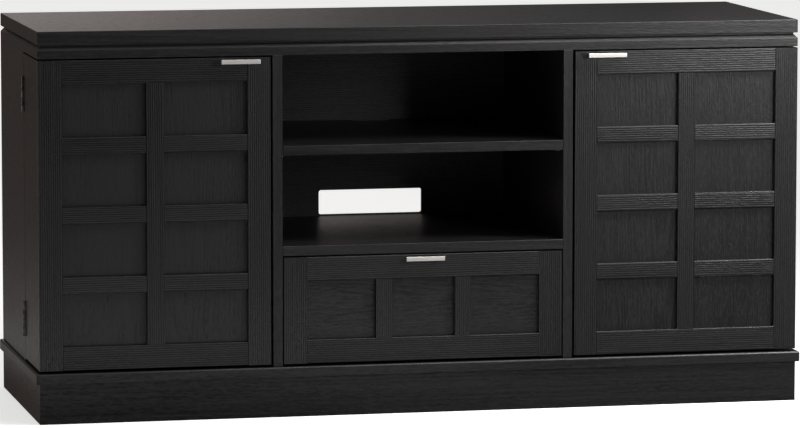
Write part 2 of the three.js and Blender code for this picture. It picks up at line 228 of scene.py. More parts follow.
def lacquer_over(tree, inputs):
    """Ends a finish in one Principled shader."""
    shader = add(tree, "BsdfPrincipled", inputs)
    add(tree, "OutputMaterial", {"Surface": shader.outputs["BSDF"]})


def grey(value):
    """A neutral stop for a ramp that drives a number."""
    return (value, value, value, 1.0)


# Oak. Each point of a board has its place in the log: x runs along the pith, with the rings round it.
# Real rings are 2 to 3 mm apart, and are drawn nearly twice as wide. Real pores are 0.3 mm wide and 2 mm
# long, and are drawn as flecks many times coarser, so that both show across a room.
RING_PITCH = 4.4 * MM
FLECK_LENGTH = 14 * MM
FLECK_WIDTH = 4.5 * MM
FIBRE_LENGTH = 400 * MM
FIBRE_WIDTH = 4.0 * MM
WAVER_LENGTH = 330 * MM
WAVER_WIDTH = 45 * MM
WAVER_REACH = 3 * MM
CLOUD_LENGTH = 600 * MM
CLOUD_WIDTH = 140 * MM
WAVE_BANDS = 20 / (2 * math.pi)
CLOUD_SHARE = 0.35
BATCH_SHARE = 0.08
PORE_DULLNESS = 0.12
RIB_SHINE = 0.1
RELIEF_STRENGTH = 0.8
DEEPEST_STAIN = "#030303"
# Paler oak for upward arrises: rubbed wear and a painted highlight together.
RUBBED_AND_HIGHLIT_OAK = "#2c2725"
LACQUER_IOR = 1.5

# How boards were sawn. A plain-sawn board has the pith under its face, this many mm below; a rift-sawn
# one has it far off to one side. The taper is how fast the rings close along the log.
PLAIN_OFF_CENTRE = 0.25
PLAIN_PITH_BELOW = (45, 90)
PLAIN_TAPER = (0.03, 0.06)
RIFT_PITH_ASIDE = (350, 700)
RIFT_PITH_BELOW = 15
RIFT_TAPER = 0.006
LOG_LENGTH = 9


def sized(length, width):
    """The scale that makes a pattern's spots this long along x and this wide across it."""
    return (1 / length, 1 / width, 1 / width)


def black_stained_oak(name, ring_share, fibre_share, fleck_share, depth, stain_from, palest, gloss=0.36):
    """Open-grained oak veneer, stained black-brown and sprayed with satin lacquer.
    The soft early wood holds more stain and lies lower, so each ring reads as a dark groove
    beside a paler rib."""
    material, tree = new_finish(name)
    timber = add(tree, "Attribute", attribute_name="timber").outputs["Vector"]
    arris = add(tree, "Attribute", attribute_name="arris").outputs["Fac"]
    stain = add(tree, "Attribute", attribute_name="stain").outputs["Fac"]

    # The rings waver a little from their circle.
    slow = add(tree, "Mapping", {"Vector": timber, "Scale": sized(WAVER_LENGTH, WAVER_WIDTH)}).outputs[0]
    waver = add(tree, "TexNoise", {"Vector": slow, "Scale": 1.0, "Detail": 2.0, "Roughness": 0.5})
    middle = (0.5, 0.5, 0.5)
    centred = add(tree, "VectorMath", {0: waver.outputs["Color"], 1: middle}, operation="SUBTRACT")
    reach = (0.0, WAVER_REACH, WAVER_REACH)
    sway = add(tree, "VectorMath", {0: centred.outputs[0], 1: reach}, operation="MULTIPLY")
    bent = add(tree, "VectorMath", {0: timber, 1: sway.outputs[0]}, operation="ADD")
    rings = add(
        tree,
        "TexWave",
        {"Vector": bent.outputs[0], "Scale": 1 / (WAVE_BANDS * RING_PITCH), "Distortion": 0.0},
        wave_type="RINGS",
        rings_direction="X",
        wave_profile="SIN",
    ).outputs["Fac"]

    # Long fibres, short flecks, and clouds where the stain took unevenly.
    noises = []
    for length, width, detail, roughness in (
        (FIBRE_LENGTH, FIBRE_WIDTH, 1.0, 0.5),
        (FLECK_LENGTH, FLECK_WIDTH, 2.0, 0.7),
        (CLOUD_LENGTH, CLOUD_WIDTH, 3.0, 0.5),
    ):
        place = add(tree, "Mapping", {"Vector": timber, "Scale": sized(length, width)}).outputs[0]
        noise = {"Vector": place, "Scale": 1.0, "Detail": detail, "Roughness": roughness}
        noises.append(add(tree, "TexNoise", noise).outputs["Fac"])
    fibres, flecks, clouds = noises

    # The darkest flecks are open pores. Flecks break up the rings, and the fibres stand as fine ribs.
    pores = add(tree, "MapRange", {"Value": flecks, "From Min": 0.46, "From Max": 0.34}).outputs[0]
    gaps = {"Value": flecks, "From Min": 0.3, "From Max": 0.6, "To Min": 0.3}
    broken = add(tree, "MapRange", gaps).outputs[0]
    ribs = add(tree, "MapRange", {"Value": fibres, "From Min": 0.32, "From Max": 0.68}).outputs[0]
    lines = add(tree, "Math", {0: rings, 1: broken}, operation="MULTIPLY").outputs[0]
    pale = add(tree, "Math", {0: lines, 1: ring_share}, operation="MULTIPLY").outputs[0]
    for source, share in (
        (ribs, fibre_share),
        (flecks, fleck_share),
        (clouds, CLOUD_SHARE),
        (stain, BATCH_SHARE),
    ):
        pale = add(tree, "Math", {0: source, 1: share, 2: pale}, operation="MULTIPLY_ADD").outputs[0]
    tones = [(stain_from, linear(DEEPEST_STAIN)), (1.0, linear(palest))]
    stained = add(tree, "ValToRGB", {"Fac": pale}, tones).outputs["Color"]

    # Upward arrises are painted paler, in patches: partly rubbed wear that keeps a little less stain,
    # partly a painted highlight of the light from above.
    rubbed_and_highlit = add(tree, "Math", {0: arris, 1: clouds}, operation="MULTIPLY").outputs[0]
    colour = add(tree, "Mix", {0: rubbed_and_highlit, 6: stained, 7: linear(RUBBED_AND_HIGHLIT_OAK)}, data_type="RGBA").outputs[2]

    # Lacquer is thinner over the open pores, which are duller, and thicker on the ribs, which shine.
    rough = gloss
    for source, share in ((pores, PORE_DULLNESS), (lines, -RIB_SHINE * ring_share)):
        rough = add(tree, "Math", {0: source, 1: share, 2: rough}, operation="MULTIPLY_ADD").outputs[0]
    relief = add(tree, "Bump", {"Height": pale, "Strength": RELIEF_STRENGTH, "Distance": depth})
    lacquer = {"Base Color": colour, "Roughness": rough, "IOR": LACQUER_IOR}
    lacquer_over(tree, {**lacquer, "Normal": relief.outputs["Normal"]})
    return material


# The metals' patterns. Brush lines are really finer than this, which is drawn so that they show close up.
BRUSH_LENGTH = 40 * MM
BRUSH_WIDTH = 0.625 * MM
BATH_CLOUD = 11.1 * MM
PLATE_GRIT = 0.385 * MM
ZINC_SPANGLE = 3.85 * MM
ROLL_LINE_LENGTH = 83 * MM
ROLL_LINE_WIDTH = 1.11 * MM


def satin_nickel():
    """Nickel plate on die-cast zinc, brushed along the bar and dulled to satin: a soft warm white."""
    material, tree = new_finish("satin_nickel")
    place = add(tree, "TexCoord").outputs["Object"]
    drawn = add(tree, "Mapping", {"Vector": place, "Scale": sized(BRUSH_LENGTH, BRUSH_WIDTH)}).outputs[0]
    brush = add(tree, "TexNoise", {"Vector": drawn, "Scale": 1.0, "Detail": 2.0}).outputs["Fac"]
    tones = [(0.3, linear("#ebe7e0")), (0.7, linear("#faf8f4"))]
    colour = add(tree, "ValToRGB", {"Fac": brush}, tones).outputs["Color"]
    rough = add(tree, "MapRange", {"Value": brush, "To Min": 0.42, "To Max": 0.56}).outputs["Result"]
    relief = add(tree, "Bump", {"Height": brush, "Strength": 0.25, "Distance": 0.05 * MM})
    metal = {"Base Color": colour, "Metallic": 1.0, "Roughness": rough}
    lacquer_over(tree, {**metal, "Normal": relief.outputs["Normal"]})
    return material


def dark_plated_steel(name, low, high, base_rough):
    """Rolled steel, plated and darkened: cloudy where the bath took unevenly, over a fine grit."""
    material, tree = new_finish(name)
    place = add(tree, "TexCoord").outputs["Object"]
    clouds = add(tree, "TexNoise", {"Vector": place, "Scale": 1 / BATH_CLOUD, "Detail": 4.0}).outputs["Fac"]
    grit = add(tree, "TexNoise", {"Vector": place, "Scale": 1 / PLATE_GRIT, "Detail": 1.0}).outputs["Fac"]
    tones = [(0.35, linear(low)), (0.68, linear(high))]
    colour = add(tree, "ValToRGB", {"Fac": clouds}, tones).outputs["Color"]
    rough = add(tree, "Math", {0: clouds, 1: 0.2, 2: base_rough}, operation="MULTIPLY_ADD").outputs[0]
    relief = add(tree, "Bump", {"Height": grit, "Strength": 0.2, "Distance": 0.04 * MM})
    metal = {"Base Color": colour, "Metallic": 1.0, "Roughness": rough}
    lacquer_over(tree, {**metal, "Normal": relief.outputs["Normal"]})
    return material


def zinc_plated_steel():
    """Cold-rolled sheet, zinc plated: pale grey-blue, with a faint spangle and the lines of the rolls."""
    material, tree = new_finish("zinc_plated_steel")
    place = add(tree, "TexCoord").outputs["Object"]
    spangle = add(tree, "TexVoronoi", {"Vector": place, "Scale": 1 / ZINC_SPANGLE}).outputs["Color"]
    along_y = (1 / ROLL_LINE_WIDTH, 1 / ROLL_LINE_LENGTH, 1 / ROLL_LINE_WIDTH)
    rolled = add(tree, "Mapping", {"Vector": place, "Scale": along_y}).outputs["Vector"]
    lines = add(tree, "TexNoise", {"Vector": rolled, "Scale": 1.0, "Detail": 2.0}).outputs["Fac"]
    shade = add(tree, "Math", {0: spangle, 1: 0.3, 2: lines}, operation="MULTIPLY_ADD").outputs[0]
    tones = [(0.3, linear("#9fa3a6")), (0.9, linear("#c9cccd"))]
    colour = add(tree, "ValToRGB", {"Fac": shade}, tones).outputs["Color"]
    rough = add(tree, "MapRange", {"Value": shade, "To Min": 0.3, "To Max": 0.5}).outputs["Result"]
    lacquer_over(tree, {"Base Color": colour, "Metallic": 1.0, "Roughness": rough})
    return material


def painted_studio_floor():
    """Matt white paint on a smooth floor, with the roller's faint patches two thirds of a metre across."""
    material, tree = new_finish("painted_studio_floor")
    place = add(tree, "TexCoord").outputs["Object"]
    roller = add(tree, "TexNoise", {"Vector": place, "Scale": 1.5, "Detail": 3.0}).outputs["Fac"]
    tones = [(0.3, linear("#f4f4f3")), (0.7, linear("#f7f7f6"))]
    colour = add(tree, "ValToRGB", {"Fac": roller}, tones).outputs["Color"]
    glow = {"Emission Color": linear("#f5f5f4"), "Emission Strength": FLOOR_GLOW}
    lacquer_over(tree, {"Base Color": colour, "Roughness": 0.85, **glow})
    return material


def lit_studio_wall():
    """The same white paint on the wall behind, lit so evenly that nothing of its surface shows."""
    material, tree = new_finish("lit_studio_wall")
    glow = add(tree, "Emission", {"Color": linear("#f1f1f0"), "Strength": 1.0})
    add(tree, "OutputMaterial", {"Surface": glow.outputs["Emission"]})
    return material


oak = black_stained_oak(
    "black_stained_oak_boards",
    ring_share=0.2,
    fibre_share=0.2,
    fleck_share=1.1,
    depth=0.35 * MM,
    stain_from=0.62,
    palest="#1c1b1c",
)
oak_frame = black_stained_oak(
    "black_stained_oak_frames",
    ring_share=1.1,
    fibre_share=0.2,
    fleck_share=0.25,
    depth=0.25 * MM,
    stain_from=0.5,
    palest="#212021",
)
# A paler copy of the oak for the back board, deep in the shaded bay: the paler colour is painted light
# there.
paler_oak_back_painted_light = black_stained_oak(
    "black_stained_oak_back",
    ring_share=1.1,
    fibre_share=0.2,
    fleck_share=0.25,
    depth=0.25 * MM,
    stain_from=0.4,
    palest="#343335",
)
nickel = satin_nickel()
hinge_steel = dark_plated_steel("antique_nickel_plate", "#5b5a55", "#93918a", 0.2)
screw_steel = dark_plated_steel("blackened_screw_steel", "#2a2927", "#55534e", 0.3)
zinc = zinc_plated_steel()


# ---------------------------------------------------------------- joinery


def block(work, low, high):
    """Adds a squared block between two corners."""
    size = Vector(high) - Vector(low)
    middle = (Vector(high) + Vector(low)) / 2
    for corner in bmesh.ops.create_cube(work, size=1.0)["verts"]:
        corner.co = Vector(corner.co[i] * size[i] for i in range(3)) + middle


def ease(work, arris, along=None, steps=ARRIS_STEPS):
    """Rounds the sharp edges, or only those that run along one axis."""
    sharp = []
    for edge in work.edges:
        if len(edge.link_faces) != 2 or edge.calc_face_angle(0.0) < math.radians(SHARP_ANGLE):
            continue
        run = edge.verts[1].co - edge.verts[0].co
        if along is None or abs(run[along]) > 0.9 * run.length:
            sharp.append(edge)
    bmesh.ops.bevel(
        work,
        geom=sharp,
        offset=arris,
        segments=steps,
        profile=0.5,
        affect="EDGES",
        clamp_overlap=True,
    )


def mark_rubbed_and_highlit_arrises(work):
    """Marks the eased edges that face upwards, where a duster rubs and where light from above catches them.
    The finish paints them paler: partly wear, partly a painted highlight.
    """
    layer = work.faces.layers.float.new("arris")
    for face in work.faces:
        face.normal_update()
        eased = max(abs(n) for n in face.normal) < 0.999
        face[layer] = 1.0 if eased and face.normal.z > 0.2 else 0.0


def join(work, part):
    """Adds one worked solid to another as it is."""
    scratch = bpy.data.meshes.new("scratch")
    part.to_mesh(scratch)
    part.free()
    work.from_mesh(scratch)
    bpy.data.meshes.remove(scratch)


def to_mesh(work, name):
    """Turns the worked solid into a mesh with its faces pointing out."""
    bmesh.ops.recalc_face_normals(work, faces=work.faces)
    mesh = bpy.data.meshes.new(name)
    work.to_mesh(mesh)
    work.free()
    return mesh


def saw_from_log(mesh, grain, sawn):
    """Notes where each point lay in its log: x along the grain, y and z from the pith.
    Plain-sawn boards show arches, because the pith lies under their face; rift-sawn ones straight lines."""
    count = len(mesh.vertices)
    places = np.empty(count * 3)
    mesh.vertices.foreach_get("co", places)
    places = places.reshape(-1, 3)
    size = places.max(0) - places.min(0)
    middle = (places.max(0) + places.min(0)) / 2
    through, across = sorted((axis for axis in (X, Y, Z) if axis != grain), key=lambda axis: size[axis])
    if sawn == "plain":
        pith_across = sawing.uniform(-PLAIN_OFF_CENTRE, PLAIN_OFF_CENTRE) * size[across]
        pith_below = sawing.uniform(*PLAIN_PITH_BELOW) * MM
        taper_through = sawing.choice((-1, 1)) * sawing.uniform(*PLAIN_TAPER)
        taper_across = 0
    else:
        pith_across = sawing.choice((-1, 1)) * sawing.uniform(*RIFT_PITH_ASIDE) * MM
        pith_below = sawing.uniform(-RIFT_PITH_BELOW, RIFT_PITH_BELOW) * MM
        taper_across = sawing.uniform(-RIFT_TAPER, RIFT_TAPER)
        taper_through = 0
    start = sawing.uniform(0, LOG_LENGTH)
    along = places[:, grain]
    timber = np.empty((count, 3))
    timber[:, 0] = along + start
    timber[:, 1] = places[:, across] - middle[across] - pith_across + taper_across * along
    timber[:, 2] = places[:, through] - middle[through] + pith_below + taper_through * along
    layer = mesh.attributes.new("timber", "FLOAT_VECTOR", "POINT")
    layer.data.foreach_set("vector", timber.astype(np.float32).ravel())
    stain = mesh.attributes.new("stain", "FLOAT", "POINT")
    stain.data.foreach_set("value", np.full(count, sawing.uniform(-1, 1), np.float32))


def set_in_place(name, mesh, body, material, stands_for=()):
    """Makes a piece of a mesh, riding on its body and standing for its CAD nodes."""
    piece = bpy.data.objects.new(name, mesh)
    bpy.context.scene.collection.objects.link(piece)
    mesh.materials.append(material)
    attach(piece, body)
    if stands_for:
        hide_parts(*stands_for)
    return piece


def shade_eased(piece, angle=BOARD_SMOOTH_ANGLE):
    """Smooth shading over the eased edges while the broad faces stay flat."""
    mesh = piece.data
    mesh.shade_smooth()
    mesh.set_sharp_from_angle(angle=math.radians(angle))
    weighted = piece.modifiers.new("flat_faces", "WEIGHTED_NORMAL")
    weighted.keep_sharp = True
    weighted.weight = 90


def cut_out(mesh, tools):
    """Cuts the tools' solids from the mesh, and gives the cut mesh."""
    blank = bpy.data.objects.new("blank", mesh)
    tool = bpy.data.objects.new("tool", to_mesh(tools, "tool"))
    for temporary in (blank, tool):
        bpy.context.scene.collection.objects.link(temporary)
    cutter = blank.modifiers.new("cut", "BOOLEAN")
    cutter.object = tool
    cutter.operation = "DIFFERENCE"
    cutter.solver = "EXACT"
    bpy.context.view_layer.update()
    graph = bpy.context.evaluated_depsgraph_get()
    solid = blank.evaluated_get(graph)
    result = bpy.data.meshes.new_from_object(solid, preserve_all_data_layers=True, depsgraph=graph)
    result.name = mesh.name
    for temporary in (blank, tool):
        old = temporary.data
        bpy.data.objects.remove(temporary)
        bpy.data.meshes.remove(old)
    return result


def cylinder(work, centre, axis, radius, length, segments=24):
    """Adds a round bar, centred on a point and lying along X or Z."""
    turn = Matrix.Rotation(math.pi / 2, 4, "Y") if axis == X else Matrix()
    bmesh.ops.create_cone(
        work,
        cap_ends=True,
        segments=segments,
        radius1=radius,
        radius2=radius,
        depth=length,
        matrix=Matrix.Translation(centre) @ turn,
    )


def body_of(node):
    """The name of the body that a CAD node rides on."""
    bodies = frame["record"]["behaviour"]["bodies"]
    return next(name for name, members in bodies.items() if node in members)


def oak_piece(name, mesh, node, grain, sawn="plain", finish=oak):
    """A finished oak piece that stands for its CAD node."""
    saw_from_log(mesh, grain, sawn)
    piece = set_in_place(name, mesh, body_of(node), finish, [node])
    shade_eased(piece)
    return piece


def plain_board(node, grain, arris=BOARD_ARRIS, sawn="plain", holes=None, finish=oak):
    """A board that fills its CAD node's box, with eased arrises and any holes cut out of it."""
    low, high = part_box(node)
    work = bmesh.new()
    block(work, low, high)
    ease(work, arris)
    mark_rubbed_and_highlit_arrises(work)
    mesh = to_mesh(work, node)
    if holes is not None:
        mesh = cut_out(mesh, holes)
    return oak_piece(f"oak_{node}", mesh, node, grain, sawn, finish)


# ---------------------------------------------------------------- mouldings


def quarter_round(radius, level, upwards, steps=ROUND_STEPS):
    """An eased edge in a moulding's profile, as (inset, height) points from below to above."""
    points = []
    for step in range(steps + 1):
        turn = step / steps * math.pi / 2
        if upwards:
            points.append((radius - radius * math.cos(turn), level - radius + radius * math.sin(turn)))
        else:
            points.append((radius - radius * math.sin(turn), level + radius - radius * math.cos(turn)))
    return points


def moulded_board(node, profile, corner, sawn="plain"):
    """A board moulded on its front and ends. The profile gives (inset, height) from below to above,
    and corner is the radius of its two upright front corners."""
    low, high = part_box(node)
    work = bmesh.new()
    rings = []
    for inset, level in profile:
        radius = max(corner - inset, LEAST_CORNER)
        left = low.x + inset
        right = high.x - inset
        front = low.y + inset
        ring = [(left, high.y)]
        for centre_x, first_turn in ((left + radius, math.pi), (right - radius, math.pi * 1.5)):
            for step in range(ARRIS_STEPS + 1):
                turn = first_turn + step / ARRIS_STEPS * math.pi / 2
                ring.append((centre_x + radius * math.cos(turn), front + radius + radius * math.sin(turn)))
        ring.append((right, high.y))
        rings.append([work.verts.new((x, y, level)) for x, y in ring])
    count = len(rings[0])
    for below, above in zip(rings, rings[1:]):
        for i in range(count):
            j = (i + 1) % count
            work.faces.new((below[i], below[j], above[j], above[i]))
    work.faces.new(rings[0])
    work.faces.new(rings[-1])
    bmesh.ops.recalc_face_normals(work, faces=work.faces)
    mark_rubbed_and_highlit_arrises(work)
    return oak_piece(f"oak_{node}", to_mesh(work, node), node, X, sawn)


def build_top():
    """The slab, the narrow neck that sets it off, and the bevelled crown board."""
    low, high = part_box("top_slab")
    lower_edge = quarter_round(TOP_ARRIS, low.z, upwards=False)
    upper_edge = quarter_round(TOP_ARRIS, high.z, upwards=True)
    moulded_board("top_slab", lower_edge + upper_edge, SLAB_CORNER)

    plain_board("top_neck", X, THIN_ARRIS, "rift")

    low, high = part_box("crown_board")
    shoulder = high.z - CROWN_BEVEL
    moulded_board(
        "crown_board",
        [
            *quarter_round(CROWN_SOFT, low.z, upwards=False, steps=2),
            (0, shoulder - CROWN_SOFT),
            (CROWN_SOFT * 0.3, shoulder + CROWN_SOFT * 0.5),
            (CROWN_BEVEL - CROWN_SOFT, high.z - CROWN_SOFT * 0.8),
            (CROWN_BEVEL, high.z),
        ],
        CROWN_CORNER,
        "rift",
    )


def mitred_board(node, corners, grain):
    """One board of the base, mitred at its ends. Corners are (x, y) seen from above."""
    low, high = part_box(node)
    work = bmesh.new()
    lower = [work.verts.new((x, y, low.z)) for x, y in corners]
    upper = [work.verts.new((x, y, high.z)) for x, y in corners]
    work.faces.new(lower)
    work.faces.new(upper)
    for i in range(4):
        j = (i + 1) % 4
        work.faces.new((lower[i], lower[j], upper[j], upper[i]))
    bmesh.ops.recalc_face_normals(work, faces=work.faces)
    ease(work, MITRE_ARRIS)
    mark_rubbed_and_highlit_arrises(work)
    oak_piece(f"oak_{node}", to_mesh(work, node), node, grain, "rift")


def build_base():
    """Four mitred boards under a lipped board with a rounded nose."""
    front_low, front_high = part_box("plinth_front")
    _, back_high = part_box("plinth_back")
    left, right = front_low.x, front_high.x
    front, back = front_low.y, back_high.y
    inner_left, inner_right = left + BASE_BOARD, right - BASE_BOARD
    inner_front, inner_back = front + BASE_BOARD, back - BASE_BOARD
    mitred_board(
        "plinth_front",
        [(left, front), (right, front), (inner_right, inner_front), (inner_left, inner_front)],
        X,
    )
    mitred_board(
        "plinth_back",
        [(inner_left, inner_back), (inner_right, inner_back), (right, back), (left, back)],
        X,
    )
    mitred_board(
        "plinth_left",
        [(left, front), (inner_left, inner_front), (inner_left, inner_back), (left, back)],
        Y,
    )
    mitred_board(
        "plinth_right",
        [(inner_right, inner_front), (right, front), (right, back), (inner_right, inner_back)],
        Y,
    )
    low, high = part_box("bottom_board")
    under_edge = quarter_round(LIP_UNDER_ROUND, low.z, upwards=False, steps=3)
    nose = quarter_round(LIP_ROUND, high.z, upwards=True)
    moulded_board("bottom_board", under_edge + nose, LIP_CORNER)


# ---------------------------------------------------------------- case


def rounded_corners(left, right, low, high, radius, steps=6):
    """A rectangle with rounded corners, as points in order."""
    corners = ((right, low, -0.5), (right, high, 0.0), (left, high, 0.5), (left, low, 1.0))
    points = []
    for x, y, quarter in corners:
        centre_x = x - math.copysign(radius, x - (left + right) / 2)
        centre_y = y - math.copysign(radius, y - (low + high) / 2)
        for step in range(steps + 1):
            turn = (quarter + 0.5 * step / steps) * math.pi
            points.append((centre_x + radius * math.cos(turn), centre_y + radius * math.sin(turn)))
    return points


def prism(work, outline, low, high, upright):
    """Adds a prism over an outline, standing along Y if it is upright or along Z."""
    ends = []
    for level in (low, high):
        ring = [(x, level, y) if upright else (x, y, level) for x, y in outline]
        ends.append([work.verts.new(place) for place in ring])
    for end in ends:
        work.faces.new(end)
    count = len(outline)
    for i in range(count):
        j = (i + 1) % count
        work.faces.new((ends[0][i], ends[0][j], ends[1][j], ends[1][i]))


def hinge_levels(side_name, place):
    """The lowest and highest point of a hinge."""
    low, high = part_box(f"hinge_{side_name}_{place}_case_leaf")
    return low.z, high.z


def barrel_axis(side_name):
    """Where a hinge barrel's axis stands: x and y."""
    low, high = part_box(f"hinge_{side_name}_lower_case_leaf")
    x = low.x + BARREL_RADIUS if side_name == "left" else high.x - BARREL_RADIUS
    return x, (low.y + high.y) / 2


def barrel_rebates(side_name):
    """Upright round cutters that let the hinge barrels into the boards' edges."""
    work = bmesh.new()
    x, y = barrel_axis(side_name)
    for place in HINGE_PLACES:
        low, high = hinge_levels(side_name, place)
        centre = (x, y, (low + high) / 2)
        length = high - low + 2 * BARREL_ROOM
        cylinder(work, centre, Z, BARREL_RADIUS + BARREL_ROOM, length, BARREL_SEGMENTS)
    return work


def pin_rows(shelf, front, back):
    """The places of a shelf's rows of pin holes: (y, z, whether the shelf rests on it)."""
    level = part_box(shelf)[0].z - PIN_RADIUS
    rows = []
    for y in (front + HOLE_FROM_EDGE, back - HOLE_FROM_EDGE):
        for step in range(-HOLES_EACH_WAY, HOLES_EACH_WAY + 1):
            rows.append((y, level + step * HOLE_PITCH, step == 0))
    return rows


def drill_rows(work, face_x, into, rows):
    """Adds the drills for rows of pin holes in an upright face. Into is the holes' way, -1 or 1."""
    for y, z, _ in rows:
        centre = (face_x + into * (HOLE_DEPTH / 2 - CUT_PAST / 2), y, z)
        cylinder(work, centre, X, HOLE_RADIUS, HOLE_DEPTH + CUT_PAST, PIN_SEGMENTS)


def shelf_pins(shelf, rows, faces):
    """Nickel pins with a collar and a flat paddle, one in each hole that the shelf rests on."""
    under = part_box(shelf)[0].z
    work = bmesh.new()
    for face_x, into in faces:
        out = -into
        near = face_x + out * PIN_COLLAR
        far = near + out * PIN_PADDLE
        for y, z, used in rows:
            if not used:
                continue
            pin = bmesh.new()
            middle = (face_x + out * PIN_MIDDLE_OUT, y, z)
            cylinder(pin, middle, X, PIN_RADIUS - PIN_SLACK, PIN_LENGTH, PIN_SEGMENTS)
            ease(pin, PIN_EASE, steps=2)
            collar = (face_x + out * PIN_COLLAR / 2, y, z - PIN_COLLAR_DROP)
            cylinder(pin, collar, X, PIN_RADIUS + PIN_COLLAR_REACH, PIN_COLLAR)
            paddle = bmesh.new()
            block(
                paddle,
                (min(near, far), y - PIN_PADDLE / 2, under - PIN_PADDLE_THICK),
                (max(near, far), y + PIN_PADDLE / 2, under),
            )
            ease(paddle, PIN_PADDLE_EASE, steps=2)
            join(work, pin)
            join(work, paddle)
    piece = set_in_place(f"{shelf}_pins", to_mesh(work, f"{shelf}_pins"), "case", nickel)
    shade_eased(piece, IRON_SMOOTH_ANGLE)


def build_case():
    """Sides, dividers, shelves and back."""
    bay_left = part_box("divider_left")[1].x
    bay_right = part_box("divider_right")[0].x
    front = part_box("divider_left")[0].y
    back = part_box("divider_left")[1].y
    bay_rows = pin_rows("adjustable_shelf", front, back)
    for side_name, side in SIDES:
        case_side = f"side_board_{side_name}"
        divider = f"divider_{side_name}"
        shelf = f"compartment_shelf_{side_name}"
        side_low, side_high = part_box(case_side)
        divider_low, divider_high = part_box(divider)
        inner_face = side_high.x if side < 0 else side_low.x
        outer_divider_face = divider_low.x if side < 0 else divider_high.x
        bay_face = divider_high.x if side < 0 else divider_low.x
        compartment_rows = pin_rows(shelf, side_low.y, back)

        drills = barrel_rebates(side_name)
        drill_rows(drills, inner_face, side, compartment_rows)
        plain_board(case_side, Z, SEAM_ARRIS, holes=drills)

        drills = bmesh.new()
        drill_rows(drills, outer_divider_face, -side, compartment_rows)
        drill_rows(drills, bay_face, side, bay_rows)
        plain_board(divider, Z, sawn="rift", holes=drills)

        plain_board(shelf, X)
        shelf_pins(shelf, compartment_rows, [(inner_face, side), (outer_divider_face, -side)])
    shelf_pins("adjustable_shelf", bay_rows, [(bay_left, -1), (bay_right, 1)])

    plain_board("fixed_shelf", X)

    low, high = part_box("adjustable_shelf")
    notch = bmesh.new()
    outline = rounded_corners(
        -NOTCH_WIDTH / 2, NOTCH_WIDTH / 2, high.y - NOTCH_DEPTH, high.y + NOTCH_DEPTH, NOTCH_ROUND
    )
    prism(notch, outline, low.z - CUT_PAST, high.z + CUT_PAST, upright=False)
    plain_board("adjustable_shelf", X, holes=notch)

    low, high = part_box("back_board")
    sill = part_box("fixed_shelf")[1].z + CUTOUT_LIFT
    hole = bmesh.new()
    outline = rounded_corners(
        -CUTOUT_WIDTH / 2, CUTOUT_WIDTH / 2, sill, sill + CUTOUT_HEIGHT, CUTOUT_ROUND
    )
    prism(hole, outline, low.y - CUT_PAST, high.y + CUT_PAST, upright=True)
    # The back board takes the paler copy of the oak, as painted light in the shaded bay.
    plain_board("back_board", X, THIN_ARRIS, "rift", hole, paler_oak_back_painted_light)


# ---------------------------------------------------------------- fronts


def even_runs(start, end, count, bar):
    """Equal openings between start and end, with bars between them."""
    run = (end - start - bar * (count - 1)) / count
    return [(start + i * (run + bar), start + i * (run + bar) + run) for i in range(count)]


def bars_between(openings):
    """The bars between openings, as (start, end) in order."""
    return [(before[1], after[0]) for before, after in zip(openings, openings[1:])]


def frame_member(name, node, boxes, grain):
    """One member of a front's frame, of one or two laminations, eased only along its length."""
    work = bmesh.new()
    for low, high in boxes:
        block(work, low, high)
    ease(work, GRID_ARRIS, along=grain, steps=GRID_STEPS)
    mark_rubbed_and_highlit_arrises(work)
    return oak_piece(name, to_mesh(work, name), node, grain, "rift", oak_frame)


def stile(name, node, outer_x, inner_x, low, high):
    """An upright at the edge of a front, rebated behind for the panel."""
    toward = math.copysign(1, inner_x - outer_x)
    back_inner = inner_x - toward * PANEL_TUCK
    section = [
        (outer_x, low.y),
        (inner_x, low.y),
        (inner_x, low.y + FACE_THICK),
        (back_inner, low.y + FACE_THICK),
        (back_inner, high.y),
        (outer_x, high.y),
    ]
    work = bmesh.new()
    prism(work, section, low.z, high.z, upright=False)
    bmesh.ops.recalc_face_normals(work, faces=work.faces)
    ease(work, GRID_ARRIS, along=Z, steps=GRID_STEPS)
    mark_rubbed_and_highlit_arrises(work)
    oak_piece(name, to_mesh(work, name), node, Z, "rift", oak_frame)


def panelled_front(node, stile_width, rail_width, columns, rows):
    """A framed front: stiles, rails, uprights and cross rails in front of one recessed panel."""
    low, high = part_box(node)
    face_back = low.y + FACE_THICK
    inner_left, inner_right = low.x + stile_width, high.x - stile_width
    stile(f"{node}_stile_left", node, low.x, inner_left, low, high)
    stile(f"{node}_stile_right", node, high.x, inner_right, low, high)
    bottom, top = low.z + rail_width, high.z - rail_width
    tuck_left, tuck_right = inner_left - PANEL_TUCK, inner_right + PANEL_TUCK
    # Each rail is two laminations: its face, and behind that a narrower one that leaves room for the panel.
    for label, face_low, face_high, tuck_low, tuck_high in (
        ("bottom", low.z, bottom, low.z, bottom - PANEL_TUCK),
        ("top", top, high.z, top + PANEL_TUCK, high.z),
    ):
        laminations = [
            ((inner_left, low.y, face_low), (inner_right, face_back, face_high)),
            ((tuck_left, face_back, tuck_low), (tuck_right, high.y, tuck_high)),
        ]
        frame_member(f"{node}_rail_{label}", node, laminations, X)
    for number, (left, right) in enumerate(bars_between(columns), 1):
        box = [((left, low.y, bottom), (right, face_back, top))]
        frame_member(f"{node}_upright_{number}", node, box, Z)
    for column, (left, right) in enumerate(columns, 1):
        for row, (below, above) in enumerate(bars_between(rows), 1):
            box = [((left, low.y, below), (right, face_back, above))]
            frame_member(f"{node}_cross_rail_{column}_{row}", node, box, X)


